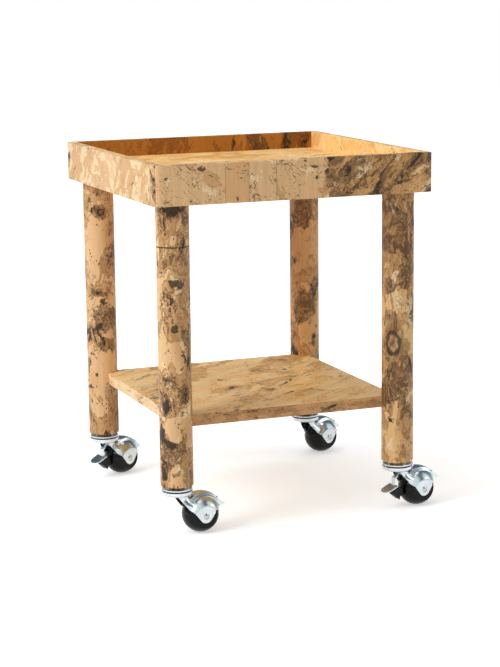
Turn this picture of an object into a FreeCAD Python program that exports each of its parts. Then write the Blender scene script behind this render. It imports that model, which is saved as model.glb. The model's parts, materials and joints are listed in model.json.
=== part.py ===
"""Cheese trolley: a shallow burl-veneered tray on four round legs, with a low shelf and
four hooded ball casters, two of them with a rocker brake.

Frame: +Z up, origin on the floor under the middle of the tray, -Y is the front, millimetres.
A caster is drawn once in a frame of its own: the swivel axis on Z, the ball behind it on +X.
"""
import FreeCAD, Part
import math
import os
import re

import Sketcher

# ---------------------------------------------------------------- driving dimensions

SIZES = {
    # tray and its joinery
    "tray_side": 450.0,
    "overall_height": 565.0,
    "rail_height": 60.0,
    "rail_wall": 15.5,
    "tray_depth": 27.0,
    "corner_radius": 11.0,
    "rim_softening": 0.8,
    "panel_thickness": 15.0,
    "tongue_thickness": 6.0,
    "tongue_length": 5.0,
    "tongue_play": 0.15,
    "spline_thickness": 3.0,
    "spline_reach": 6.0,
    "spline_height": 24.0,
    "spline_play": 0.1,
    # legs
    "leg_diameter": 50.0,
    "leg_gap": 0.3,
    "leg_end_round": 1.5,
    "hanger_diameter": 8.0,
    "hanger_in_leg": 34.0,
    "hanger_in_panel": 9.0,
    "hanger_point": 1.0,
    "insert_diameter": 13.0,
    "insert_depth": 10.0,
    "bolt_play": 0.1,
    # shelf
    "shelf_top": 183.0,
    "shelf_thickness": 18.0,
    "shelf_setback": 2.0,
    "scoop_play": 0.3,
    "dowel_diameter": 8.0,
    "dowel_in_leg": 17.0,
    "dowel_in_shelf": 28.0,
    "dowel_play": 0.1,
    # caster: the ball's place behind the swivel axis, and each one's swivel
    "caster_offset": 37.8,
    "swivel_front_left": 4.7,
    "swivel_front_right": 11.8,
    "swivel_back_left": 26.6,
    "swivel_back_right": 21.1,
    # ball and axle
    "ball_radius": 28.5,
    "ball_flat": 20.9,
    "hub_boss_radius": 5.5,
    "hub_boss_height": 0.3,
    "axle_radius": 2.5,
    "axle_play": 0.06,
    "rivet_head_radius": 4.6,
    "rivet_head_height": 1.9,
    "rivet_dish_radius": 5.4,
    "rivet_dish_depth": 0.5,
    # hood stamping: the domed cheeks, the raised crown and the ears with their brows
    "hood_sheet": 1.2,
    "cheek_gap": 1.6,
    "cheek_half_width": 26.0,
    "crown_gap": 5.6,
    "crown_half_width": 11.0,
    "crown_foot_run": 1.6,
    "crown_round": 0.8,
    "ear_gap": 0.4,
    "ear_radius": 10.6,
    "brow_radius": 21.4,
    "brow_drop": 7.0,
    "brow_depth": 18.0,
    # hood: flared lip at the back of the crown
    "flare_start": 25.0,
    "flare_reach": 40.5,
    "flare_end": 12.0,
    "flare_round": 30.0,
    # hood: the mouth's edge, the ear's front corner, its back corner and the hem behind
    "mouth_start": 9.2,
    "mouth_round": 9.0,
    "mouth_top_ahead": 1.7,
    "mouth_top_drop": 4.6,
    "mouth_foot_ahead": 25.5,
    "mouth_foot_up": 12.0,
    "ear_front_ahead": 17.5,
    "ear_front_up": 5.2,
    "ear_back_behind": 15.6,
    "ear_back_low": 4.0,
    "ear_back_up": 8.0,
    "hem_reach": 45.0,
    "hem_up": 14.5,
    # hood: the neck's ring under the bowl, and the bowl of the swivel on top
    "neck_top_ahead": 37.0,
    "neck_top_radius": 17.5,
    "bowl_radius": 23.5,
    "bowl_height": 6.3,
    "bowl_corner": 3.6,
    "bowl_over_ball": 6.0,
    # swivel race
    "race_sheet": 1.6,
    "race_rim_radius": 23.0,
    "race_rim_rise": 4.5,
    "race_track_radius": 17.4,
    "race_track_half": 2.0,
    "race_hub_radius": 11.0,
    "race_hub_rise": 8.0,
    "bearing_ball_radius": 2.25,
    "bearing_ball_count": 12,
    "bearing_play": 0.05,
    # stem and its socket in the leg
    "stem_radius": 5.5,
    "stem_play": 0.05,
    "stem_length": 34.0,
    "stem_point": 1.5,
    "stem_collar_radius": 8.0,
    "stem_head_radius": 8.0,
    "stem_head_height": 2.6,
    "stem_head_gap": 0.2,
    "socket_radius": 7.2,
    "socket_flange_radius": 11.0,
    "socket_flange_thickness": 1.2,
    "socket_depth": 38.0,
    # brake: a bent strip that rocks on a pin, with a moulded shoe
    "brake_sheet": 1.6,
    "brake_strip_width": 9.0,
    "brake_pedal_width": 22.0,
    "brake_pedal_round": 9.5,
    "brake_pivot_ahead": 31.5,
    "brake_pivot_up": 27.0,
    "brake_pin_radius": 2.0,
    "brake_pin_play": 0.05,
    "brake_eye_radius": 3.6,
    "brake_front": 45.4,
    "brake_bend_up": 21.0,
    "brake_pedal_up": 9.2,
    "brake_pedal_reach": 66.0,
    "brake_pedal_drop": 8.1,
    "brake_arm_gap": 2.9,
    "brake_arm_start": 24.0,
    "brake_arm_end": 8.4,
    "brake_tab_up": 42.0,
    "brake_shoe_width": 11.0,
    "brake_shoe_gap": 1.85,
    "brake_shoe_heel": 48.6,
    "brake_shoe_heel_drop": 5.4,
    "brake_shoe_toe": 36.4,
    "brake_shoe_toe_drop": 15.0,
    "brake_shoe_notch": 35.2,
    "brake_shoe_notch_drop": 9.4,
    "brake_shoe_top": 3.0,
    "brake_slot_front": 16.0,
    "brake_slot_back": 5.6,
    "brake_slot_up": 24.0,
    "brake_slot_play": 0.8,
}

# rings that the neck passes through below its top one: height above the ball's centre,
# distance ahead of it and radius
NECK_RINGS = ((32.3, 35.5, 14.9), (29.0, 33.0, 14.2), (24.0, 28.5, 15.6),
              (17.0, 22.0, 18.6), (10.0, 15.0, 19.5))
for number, ring in enumerate(NECK_RINGS, start=1):
    for measure, size in zip(("up", "ahead", "radius"), ring):
        SIZES[f"neck_{measure}_{number}"] = size

CORNERS = {
    "front_left": (-1, -1),
    "front_right": (1, -1),
    "back_left": (-1, 1),
    "back_right": (1, 1),
}
BRAKED = ("front_right", "back_left")

# sizes that follow from the driving ones, as expressions on the sheet
LEG_RADIUS = "(leg_diameter / 2)"
LEG_AXIS = "(tray_side / 2 - rail_wall - leg_gap - leg_diameter / 2)"
INNER_HALF = "(tray_side / 2 - rail_wall)"
PANEL_BOTTOM = "(overall_height - tray_depth - panel_thickness)"
TONGUE_BOTTOM = "(overall_height - tray_depth - panel_thickness / 2 - tongue_thickness / 2)"
APRON_BOTTOM = "(overall_height - rail_height)"
SHELF_BOTTOM = "(shelf_top - shelf_thickness)"
SHELF_MIDDLE = "(shelf_top - shelf_thickness / 2)"
SHELF_HALF = f"({LEG_AXIS} - shelf_setback)"
DOWEL_START = "(leg_diameter / 2 - dowel_in_leg)"
EAR_INSIDE = "(ball_flat + ear_gap)"
EAR_OUTSIDE = "(ball_flat + ear_gap + hood_sheet)"
BOWL_UP = "(ball_radius + bowl_over_ball)"
BOWL_BOTTOM = "(2 * ball_radius + bowl_over_ball)"
BOWL_FLOOR = f"({BOWL_BOTTOM} + hood_sheet)"
TRACK_BOTTOM = f"({BOWL_FLOOR} + 2 * bearing_ball_radius + 2 * bearing_play)"
RACE_TOP = f"({TRACK_BOTTOM} + race_hub_rise)"
CASTER_HEIGHT = f"({RACE_TOP} + socket_flange_thickness)"
ARM_INSIDE = "(ball_radius + brake_arm_gap)"
ARM_OUTSIDE = "(ball_radius + brake_arm_gap + brake_sheet)"
PEDAL_SLOPE = "(brake_pedal_drop / (brake_pedal_reach - brake_front))"
PEDAL_UNDER = f"(brake_pedal_up - brake_sheet + {PEDAL_SLOPE} * brake_sheet)"

doc = FreeCAD.newDocument("CheeseTrolley")
sheet = doc.addObject("Spreadsheet::Sheet", "Sizes")
for row, (alias, size) in enumerate(SIZES.items(), start=1):
    sheet.set(f"A{row}", alias)
    sheet.set(f"B{row}", str(size))
    sheet.setAlias(f"B{row}", alias)
doc.recompute()

SUBPARTS = []

# ---------------------------------------------------------------- expressions and places


def on_sheet(text):
    """The expression with its sheet's name before every alias."""
    return re.sub(r"\b([a-z]\w*)\b",
                  lambda word: "Sizes." + word[0] if word[0] in SIZES else word[0],
                  str(text))


def value(text):
    """The number that an expression on the sheet has now."""
    return float(sheet.evalExpression(on_sheet(text)))


def bind(thing, **expressions):
    """Bind properties of an object; a double underscore stands for a dot."""
    for path, text in expressions.items():
        thing.setExpression(path.replace("__", "."), on_sheet(text))
    return thing


def place(thing, x=0, y=0, z=0):
    """Bind the place of an object."""
    return bind(thing, Placement__Base__x=x, Placement__Base__y=y, Placement__Base__z=z)


def keep(piece):
    """Enter a sub-part in the list of files."""
    SUBPARTS.append(piece)
    return piece


# ---------------------------------------------------------------- primitives and booleans


def primitive(kind, name, at=(0, 0, 0), turn=None, **sizes):
    """A bound primitive at a bound place; turn is an axis and an angle in degrees."""
    solid = doc.addObject(f"Part::{kind}", name)
    if turn:
        solid.Placement.Rotation = FreeCAD.Rotation(FreeCAD.Vector(*turn[0]), turn[1])
    bind(solid, **sizes)
    return place(solid, *at)


def cut(name, base, *tools):
    """The base without the tools, which are cut one after another."""
    for number, tool in enumerate(tools, start=1):
        result = doc.addObject("Part::Cut", name if number == len(tools)
                               else f"{name}_{number}")
        result.Base = base
        result.Tool = tool
        base = result
    return base


def fuse(name, *solids):
    """The solids joined."""
    result = doc.addObject("Part::MultiFuse", name)
    result.Shapes = list(solids)
    return result


def group(name, solids):
    """Separate solids kept as one object."""
    result = doc.addObject("Part::Compound", name)
    result.Label = name
    result.Links = list(solids)
    return result


def copy_of(master, name, x=0, y=0, z=0, angle=0):
    """One more piece of the master's shape, turned about Z and moved to a bound place."""
    piece = group(name, [master])
    bind(piece, Placement__Rotation__Angle=angle)
    return place(piece, x, y, z)


# ---------------------------------------------------------------- bodies and sketches


def new_body(name):
    """A body with the name as its label."""
    body = doc.addObject("PartDesign::Body", name)
    body.Label = name
    return body


def new_sketch(body, name, role, offset=0):
    """A sketch on one of the body's origin planes, raised by a bound offset."""
    sketch = body.newObject("Sketcher::SketchObject", name)
    plane = next(item for item in body.Origin.OriginFeatures if item.Role == role)
    sketch.AttachmentSupport = [(plane, "")]
    sketch.MapMode = "FlatFace"
    bind(sketch, AttachmentOffset__Base__z=offset)
    return sketch


def hold(sketch, constraint, text):
    """Add a constraint whose size is bound to an expression."""
    index = sketch.addConstraint(constraint)
    sketch.setExpression(f"Constraints[{index}]", on_sheet(text))


def hold_point(sketch, geometry, end, x, y):
    """Hold a point of the sketch at bound coordinates."""
    for kind, text in (("DistanceX", x), ("DistanceY", y)):
        hold(sketch, Sketcher.Constraint(kind, geometry, end, value(text)), text)


def arc_between(start, end, radius):
    """The short arc from start to end: it bulges to the right of its way, or to the left
    where the radius is negative."""
    chord = end - start
    left = FreeCAD.Vector(-chord.y, chord.x, 0).normalize()
    rise = math.sqrt(max(radius * radius - chord.Length ** 2 / 4, 0.0))
    side = math.copysign(1, radius)
    centre = start + chord / 2 + left * (rise * side)
    return Part.Arc(start, centre - left * radius, end)


def end_at(sketch, geometry, point):
    """Which end of a piece of geometry, 1 or 2, lies nearer the point."""
    near = [(sketch.getPoint(geometry, end) - point).Length for end in (1, 2)]
    return 1 + near.index(min(near))


def outline(sketch, corners):
    """A closed outline of (x, y), or (x, y, radius of the arc that leaves this corner)."""
    points = [FreeCAD.Vector(value(corner[0]), value(corner[1]), 0) for corner in corners]
    first, count = sketch.GeometryCount, len(corners)
    for number, corner in enumerate(corners):
        start, end = points[number], points[(number + 1) % count]
        curve = (arc_between(start, end, value(corner[2])) if len(corner) == 3
                 else Part.LineSegment(start, end))
        sketch.addGeometry(curve, False)
    for number, corner in enumerate(corners):
        this, following = first + number, first + (number + 1) % count
        meeting = points[(number + 1) % count]
        sketch.addConstraint(Sketcher.Constraint(
            "Coincident", this, end_at(sketch, this, meeting),
            following, end_at(sketch, following, meeting)))
        hold_point(sketch, this, end_at(sketch, this, points[number]), *corner[:2])
        if len(corner) == 3:
            radius = corner[2].lstrip("-")
            hold(sketch, Sketcher.Constraint("Radius", this, value(radius)), radius)
    return sketch


def circle(sketch, x, y, radius):
    """A circle with bound centre and radius."""
    centre = FreeCAD.Vector(value(x), value(y), 0)
    number = sketch.addGeometry(
        Part.Circle(centre, FreeCAD.Vector(0, 0, 1), value(radius)), False)
    hold_point(sketch, number, 3, x, y)
    hold(sketch, Sketcher.Constraint("Radius", number, value(radius)), radius)


def pad(body, sketch, length, middle=False):
    """A pad of bound length, up from the sketch or to both sides of it."""
    feature = body.newObject("PartDesign::Pad", sketch.Name + "_pad")
    feature.Profile = sketch
    feature.Midplane = middle
    bind(feature, Length=length)
    doc.recompute()
    return feature


def pocket(body, sketch, length):
    """A pocket of bound depth, upwards from the sketch."""
    before = body.Tip.Shape.Volume
    feature = body.newObject("PartDesign::Pocket", sketch.Name + "_cut")
    feature.Profile = sketch
    feature.Reversed = True
    bind(feature, Length=length)
    doc.recompute()
    if feature.Shape.Volume >= before:
        raise RuntimeError(f"{feature.Name} cuts nothing")
    return feature


def revolve(body, sketch):
    """A full turn of the sketch about its own vertical axis."""
    feature = body.newObject("PartDesign::Revolution", sketch.Name + "_turned")
    feature.Profile = sketch
    feature.ReferenceAxis = (sketch, ["V_Axis"])
    feature.Angle = 360
    doc.recompute()
    return feature


def fillet(body, name, radius, wanted):
    """Round the edges of the tip that the test picks out."""
    base = body.Tip
    feature = body.newObject("PartDesign::Fillet", name)
    feature.Base = (base, [f"Edge{number}" for number, edge
                           in enumerate(base.Shape.Edges, start=1) if wanted(edge)])
    bind(feature, Radius=radius)
    doc.recompute()
    return feature


def turned(name, corners):
    """A body turned about Z from its outline in (radius, height)."""
    body = new_body(name)
    revolve(body, outline(new_sketch(body, name + "_profile", "XZ_Plane"), corners))
    return body


def both(x, y, scale_x=1, scale_y=1):
    """A point with signs put before its expressions."""
    return (f"{scale_x} * {x}", f"{scale_y} * {y}")


# ---------------------------------------------------------------- tray


def tray_rail(name, angle):
    """A mitred rail, rounded outside at its ends, grooved for the panel and its splines."""
    body = new_body(name)
    plan = new_sketch(body, name + "_plan", "XY_Plane", APRON_BOTTOM)
    start = "(tray_side / 2 - corner_radius)"
    outside = "(tray_side / 2)"
    mitre = "(tray_side / 2 - corner_radius + corner_radius * sqrt(0.5))"
    outline(plan, [
        both(start, outside, -1, -1),
        (*both(start, outside, 1, -1), "corner_radius"),
        both(mitre, mitre, 1, -1),
        both(INNER_HALF, INNER_HALF, 1, -1),
        both(INNER_HALF, INNER_HALF, -1, -1),
        (*both(mitre, mitre, -1, -1), "corner_radius"),
    ])
    pad(body, plan, "rail_height")

    reach = f"({INNER_HALF} + tongue_length + tongue_play)"
    groove = new_sketch(body, name + "_groove", "XY_Plane", f"{TONGUE_BOTTOM} - tongue_play")
    outline(groove, [both(reach, reach, -1, -1), both(reach, reach, 1, -1),
                     both(reach, "(tray_side / 4)", 1, -1),
                     both(reach, "(tray_side / 4)", -1, -1)])
    pocket(body, groove, "tongue_thickness + 2 * tongue_play")

    slots = new_sketch(body, name + "_slots", "XY_Plane", APRON_BOTTOM)
    for side in (-1, 1):
        outline(slots, spline_outline(side, "spline_play"))
    pocket(body, slots, "spline_height + 2 * spline_play")

    top = value("overall_height")
    fillet(body, name + "_softened", "rim_softening", lambda edge: (
        all(abs(end.Z - top) < 1e-6 for end in edge.Vertexes)
        and any(abs(abs(end.X) - abs(end.Y)) > 1e-3 for end in (
            edge.Vertexes + [Part.Vertex(edge.valueAt(sum(edge.ParameterRange) / 2))]))))
    body.Placement.Rotation = FreeCAD.Rotation(FreeCAD.Vector(0, 0, 1), angle)
    return keep(body)


def spline_outline(side, play):
    """The plan of a spline across the mitre at one end of the front rail, with play."""
    middle = "(tray_side / 2 - rail_wall / 2)"
    along = f"((spline_reach + {play}) * sqrt(0.5))"
    across = f"((spline_thickness / 2 + {play}) * sqrt(0.5))"
    corners = [(f"{side} * ({middle} {a} {along} {b} {across})",
                f"-({middle} {c} {along} {b} {across})")
               for a, b, c in (("-", "-", "+"), ("+", "-", "-"),
                               ("+", "+", "-"), ("-", "+", "+"))]
    return corners if side < 0 else corners[::-1]


def corner_splines():
    """Four thin splines, one across each mitre, let in from below."""
    body = new_body("corner_spline")
    plan = new_sketch(body, "corner_spline_plan", "XY_Plane", f"{APRON_BOTTOM} + spline_play")
    outline(plan, spline_outline(1, "0"))
    pad(body, plan, "spline_height")
    keep(group("corner_splines", [copy_of(body, f"corner_spline_{turn}", angle=90 * turn)
                                  for turn in range(4)]))


def tray_panel():
    """The tray's floor: a board with a tongue all round and four holes for the inserts."""
    body = new_body("tray_panel")
    half = f"({INNER_HALF} - tongue_play)"
    board = new_sketch(body, "tray_panel_board", "XY_Plane", PANEL_BOTTOM)
    outline(board, square(half))
    pad(body, board, "panel_thickness")
    tongue = new_sketch(body, "tray_panel_tongue", "XY_Plane", TONGUE_BOTTOM)
    outline(tongue, square(f"({INNER_HALF} + tongue_length)"))
    pad(body, tongue, "tongue_thickness")
    holes = new_sketch(body, "tray_panel_holes", "XY_Plane", PANEL_BOTTOM)
    for side_x, side_y in CORNERS.values():
        circle(holes, *both(LEG_AXIS, LEG_AXIS, side_x, side_y),
               "insert_diameter / 2 + bolt_play")
    pocket(body, holes, "insert_depth + bolt_play")
    return keep(body)


def square(half):
    """The corners of a square about the origin."""
    return [both(half, half, side_x, side_y)
            for side_x, side_y in ((-1, -1), (1, -1), (1, 1), (-1, 1))]


# ---------------------------------------------------------------- legs and their fixings


def leg_master():
    """A turned leg, drilled for its hanger bolt, its caster socket and its shelf dowel."""
    socket_hole = "(socket_radius + bolt_play)"
    hanger_hole = "(hanger_diameter / 2 + bolt_play)"
    leg = turned("leg_turning", [
        (socket_hole, CASTER_HEIGHT),
        (f"{LEG_RADIUS} - leg_end_round", CASTER_HEIGHT, "leg_end_round"),
        (LEG_RADIUS, f"{CASTER_HEIGHT} + leg_end_round"),
        (LEG_RADIUS, PANEL_BOTTOM),
        (hanger_hole, PANEL_BOTTOM),
        (hanger_hole, f"{PANEL_BOTTOM} - hanger_in_leg - bolt_play"),
        ("0", f"{PANEL_BOTTOM} - hanger_in_leg - bolt_play"),
        ("0", f"{CASTER_HEIGHT} + socket_depth + bolt_play"),
        (socket_hole, f"{CASTER_HEIGHT} + socket_depth + bolt_play"),
    ])
    hole = primitive("Cylinder", "leg_dowel_hole", turn=((0, 1, 0), 90),
                     at=(f"{DOWEL_START} - dowel_play", 0, SHELF_MIDDLE),
                     Radius="dowel_diameter / 2 + dowel_play", Height="leg_diameter")
    return cut("leg_drilled", leg, hole)


def pointed_rod(name, radius, point, bottom, top):
    """A rod with a chamfer at both ends, from its bottom height to its top."""
    return turned(name, [
        ("0", bottom), (f"{radius} - {point}", bottom), (radius, f"{bottom} + {point}"),
        (radius, f"{top} - {point}"), (f"{radius} - {point}", top), ("0", top),
    ])


def at_corner(name):
    """The bound place of a corner's leg axis."""
    return both(LEG_AXIS, LEG_AXIS, *CORNERS[name])


def inward(name):
    """The angle from +X of the way from a corner to the middle."""
    side_x, side_y = CORNERS[name]
    return math.degrees(math.atan2(-side_y, -side_x))


def legs_and_fixings():
    """Four legs with their hanger bolts and the threaded inserts in the panel."""
    master = leg_master()
    bolt = pointed_rod("leg_bolt", "(hanger_diameter / 2)", "hanger_point",
                       f"({PANEL_BOTTOM} - hanger_in_leg)",
                       f"({PANEL_BOTTOM} + hanger_in_panel)")
    insert = turned("panel_insert", [
        ("hanger_diameter / 2 + bolt_play", PANEL_BOTTOM),
        ("insert_diameter / 2", PANEL_BOTTOM),
        ("insert_diameter / 2", f"{PANEL_BOTTOM} + insert_depth"),
        ("hanger_diameter / 2 + bolt_play", f"{PANEL_BOTTOM} + insert_depth"),
    ])
    for name in CORNERS:
        keep(copy_of(master, f"leg_{name}", *at_corner(name), angle=inward(name)))
    for label, piece in (("leg_hanger_bolts", bolt), ("panel_inserts", insert)):
        keep(group(label, [copy_of(piece, f"{label}_{name}", *at_corner(name))
                           for name in CORNERS]))


# ---------------------------------------------------------------- shelf


def shelf():
    """The low shelf, scooped at its corners round the legs, with a dowel into each leg."""
    body = new_body("shelf_board")
    plan = new_sketch(body, "shelf_plan", "XY_Plane", SHELF_BOTTOM)
    radius = "(leg_diameter / 2 + scoop_play)"
    edge, foot = SHELF_HALF, f"({LEG_AXIS} - sqrt({radius} ^ 2 - shelf_setback ^ 2))"
    outline(plan, [
        both(foot, edge, -1, -1), (*both(foot, edge, 1, -1), f"-{radius}"),
        both(edge, foot, 1, -1), (*both(edge, foot, 1, 1), f"-{radius}"),
        both(foot, edge, 1, 1), (*both(foot, edge, -1, 1), f"-{radius}"),
        both(edge, foot, -1, 1), (*both(edge, foot, -1, -1), f"-{radius}"),
    ])
    pad(body, plan, "shelf_thickness")
    fillet(body, "shelf_softened", "rim_softening", lambda line: (
        isinstance(line.Curve, Part.Line)
        and abs(line.Vertexes[0].Z - line.Vertexes[1].Z) < 1e-6))
    hole = primitive("Cylinder", "shelf_dowel_hole", turn=((0, 1, 0), 90),
                     at=(LEG_RADIUS, 0, SHELF_MIDDLE),
                     Radius="dowel_diameter / 2 + dowel_play",
                     Height="dowel_in_shelf + dowel_play")
    holes = [copy_of(hole, f"shelf_hole_{name}", *at_corner(name), angle=inward(name))
             for name in CORNERS]
    drilled = cut("shelf", body, *holes)
    drilled.Label = "shelf"
    keep(drilled)
    dowel = primitive("Cylinder", "shelf_dowel", turn=((0, 1, 0), 90),
                      at=(DOWEL_START, 0, SHELF_MIDDLE), Radius="dowel_diameter / 2",
                      Height="dowel_in_leg + dowel_in_shelf")
    keep(group("shelf_dowels", [
        copy_of(dowel, f"shelf_dowel_{name}", *at_corner(name), angle=inward(name))
        for name in CORNERS]))


# ---------------------------------------------------------------- caster: hood stamping


def at_ball(body):
    """Move a body that is drawn about the ball's centre to that centre."""
    return place(body, "caster_offset", 0, "ball_radius")


def dome_form(name, inset):
    """The dome as turned about the axle: round cheeks and a raised crown between them."""
    end = f"(cheek_half_width - {inset})"
    body = new_body(name)
    cheek = f"(ball_radius + cheek_gap + hood_sheet - {inset})"
    crown = f"(ball_radius + crown_gap + hood_sheet - {inset})"
    shoulder = f"(crown_half_width - {inset})"
    foot = f"(crown_half_width + crown_foot_run - {inset})"
    on_crown = f"sqrt({crown} ^ 2 - {shoulder} ^ 2)"
    on_cheek = f"sqrt({cheek} ^ 2 - {foot} ^ 2)"
    at_end = f"sqrt({cheek} ^ 2 - {end} ^ 2)"
    steep = f"(crown_round / sqrt(({on_crown} - {on_cheek}) ^ 2 + crown_foot_run ^ 2))"
    rise, run = f"({steep} * ({on_crown} - {on_cheek}))", f"({steep} * crown_foot_run)"
    bend = "(2 * crown_round)"
    out, back = f"({foot} + crown_round)", f"({shoulder} - crown_round)"
    at_out, at_back = f"sqrt({cheek} ^ 2 - {out} ^ 2)", f"sqrt({crown} ^ 2 - {back} ^ 2)"
    profile = new_sketch(body, name + "_profile", "XY_Plane")
    outline(profile, [
        ("0", f"-{end}"), (at_end, f"-{end}", cheek), (at_out, f"-{out}", f"-{bend}"),
        (f"{on_cheek} + {rise}", f"-({foot} - {run})"),
        (f"{on_crown} - {rise}", f"-({shoulder} + {run})", bend),
        (at_back, f"-{back}", crown), (at_back, back, bend),
        (f"{on_crown} - {rise}", f"{shoulder} + {run}"),
        (f"{on_cheek} + {rise}", f"{foot} - {run}", f"-{bend}"),
        (at_out, out, cheek), (at_end, end), ("0", end),
    ])
    revolve(body, profile)
    return at_ball(body)


def neck_form(name, inset, lid):
    """The neck between the bowl and the dome, lofted through level rings.

    The rings start at the front, so that no hole crosses the seam of the loft."""
    rings = [(f"({BOWL_UP} + {lid})", "neck_top_ahead", "neck_top_radius")]
    for number in range(1, len(NECK_RINGS) + 1):
        rings.append((f"neck_up_{number}", f"neck_ahead_{number}", f"neck_radius_{number}"))
    loft = doc.addObject("Part::Loft", name)
    loft.Sections = [
        primitive("Circle", f"{name}_ring_{number}", turn=((0, 0, 1), 180),
                  at=(f"caster_offset - {ahead}", 0, f"ball_radius + {up}"),
                  Radius=f"{radius} - {inset}")
        for number, (up, ahead, radius) in enumerate(rings)]
    loft.Solid = True
    return loft


def flare_form(name, inset, half_width):
    """The flared lip at the back of the crown, filled down to the ball."""
    body = new_body(name)
    crown = "(ball_radius + crown_gap + hood_sheet)"
    up = f"sqrt({crown} ^ 2 - flare_start ^ 2)"
    run, drop = "(flare_reach - flare_start)", f"({up} - flare_end)"
    length = f"sqrt({run} ^ 2 + {drop} ^ 2)"
    across, down = f"({inset} * {drop} / {length})", f"({inset} * {run} / {length})"
    profile = new_sketch(body, name + "_profile", "XZ_Plane")
    outline(profile, [
        ("ball_flat", "0"), (f"flare_reach - {across}", f"flare_end - {down}",
                             f"-(flare_round + {inset})"),
        (f"flare_start - {across}", f"{up} - {down}"), ("flare_start / 2", "flare_start / 2"),
    ])
    pad(body, profile, f"2 * {half_width}", middle=True)
    return at_ball(body)


def brows(name, face, radius):
    """The two cones that press the ears flat and leave a brow above each."""
    cones = []
    for side in (-1, 1):
        cones.append(primitive(
            "Cone", f"{name}_{'front' if side < 0 else 'back'}",
            at=("caster_offset", f"{side} * {face}", "ball_radius - brow_drop"),
            turn=((1, 0, 0), -90 * side), Radius1=radius, Radius2=f"{radius} + brow_depth",
            Height="brow_depth"))
    return fuse(name, *cones)


def tangent_point(x, y, radius, side):
    """Where a line from a point touches a circle about the origin."""
    square_sum = f"({x} ^ 2 + {y} ^ 2)"
    near = f"({radius} ^ 2 / {square_sum})"
    away = f"({side} * {radius} * sqrt({square_sum} - {radius} ^ 2) / {square_sum})"
    return f"({near} * {x} - {away} * {y})", f"({near} * {y} + {away} * {x})"


def below_the_edge():
    """Everything below the hood's edge: its mouth, round the ear and along the hem."""
    body = new_body("hood_edge_form")
    far, low = "(2 * hem_reach)", "(2 * ball_radius)"
    start = "(0 - caster_offset - mouth_start)"
    top = ("(0 - caster_offset - mouth_top_ahead)", f"({BOWL_UP} - mouth_top_drop)")
    front = ("(0 - ear_front_ahead)", "ear_front_up")
    back = ("ear_back_behind", "ear_back_low")
    ear_front = tangent_point(*front, "ear_radius", 1)
    ear_back = tangent_point(*back, "ear_radius", -1)
    profile = new_sketch(body, "hood_edge_profile", "XZ_Plane")
    outline(profile, [
        (f"-{far}", f"-{low}"), (far, f"-{low}"),
        (far, "(hem_up + (hem_up - ear_back_up) / (hem_reach - ear_back_behind) * hem_reach)"),
        ("ear_back_behind", "ear_back_up"), back, (*ear_back, "-ear_radius"), ear_front,
        front, ("(0 - mouth_foot_ahead)", "mouth_foot_up"),
        (*top, "mouth_round"), (start, BOWL_UP), (f"-{far}", BOWL_UP),
    ])
    pad(body, profile, far, middle=True)
    return at_ball(body)


def swivel_bowl():
    """The bowl on top of the hood, in which the swivel's balls run."""
    inside = "(bowl_radius - hood_sheet)"
    corner = f"({BOWL_BOTTOM} + bowl_corner)"
    rim = f"({BOWL_BOTTOM} + bowl_height)"
    return turned("hood_bowl", [
        ("0", BOWL_BOTTOM), ("bowl_radius - bowl_corner", BOWL_BOTTOM, "bowl_corner"),
        ("bowl_radius", corner), ("bowl_radius", rim), (inside, rim),
        (inside, corner, "-(bowl_corner - hood_sheet)"),
        ("bowl_radius - bowl_corner", BOWL_FLOOR), ("0", BOWL_FLOOR),
    ])


def hood_master():
    """The whole hood: a shell of dome, crown, neck, ears and flared lip under a bowl."""
    brow_inside = "(brow_radius + hood_sheet * (sqrt(2) - 1))"
    outside = cut("hood_outside", fuse(
        "hood_outside_forms", dome_form("dome_outside", "0"),
        neck_form("neck_outside", "0", "hood_sheet / 2"),
        flare_form("flare_outside", "0", "crown_half_width")),
        brows("brows_outside", EAR_OUTSIDE, "brow_radius"))
    inside = cut("hood_inside", fuse(
        "hood_inside_forms", dome_form("dome_inside", "hood_sheet"),
        neck_form("neck_inside", "hood_sheet", "0"),
        flare_form("flare_inside", "hood_sheet", "(crown_half_width - hood_sheet)")),
        brows("brows_inside", EAR_INSIDE, brow_inside))
    shell = cut("hood_shell", outside, inside, below_the_edge())
    stem_hole = primitive("Cylinder", "hood_stem_hole",
                          at=(0, 0, f"{BOWL_BOTTOM} - hood_sheet"),
                          Radius="stem_radius + stem_play", Height="3 * hood_sheet")
    axle_hole = primitive("Cylinder", "hood_axle_hole", turn=((1, 0, 0), 90),
                          at=("caster_offset", "2 * ball_radius", "ball_radius"),
                          Radius="axle_radius + axle_play", Height="4 * ball_radius")
    dishes = [primitive("Cylinder", f"hood_rivet_dish_{number}", turn=((1, 0, 0), -90 * side),
                        at=("caster_offset", f"{side} * ({EAR_OUTSIDE} - rivet_dish_depth)",
                            "ball_radius"),
                        Radius="rivet_dish_radius", Height="ball_radius")
              for number, side in enumerate((-1, 1))]
    return cut("hood_plain", fuse("hood_joined", shell, swivel_bowl()),
               stem_hole, axle_hole, *dishes)


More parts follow.
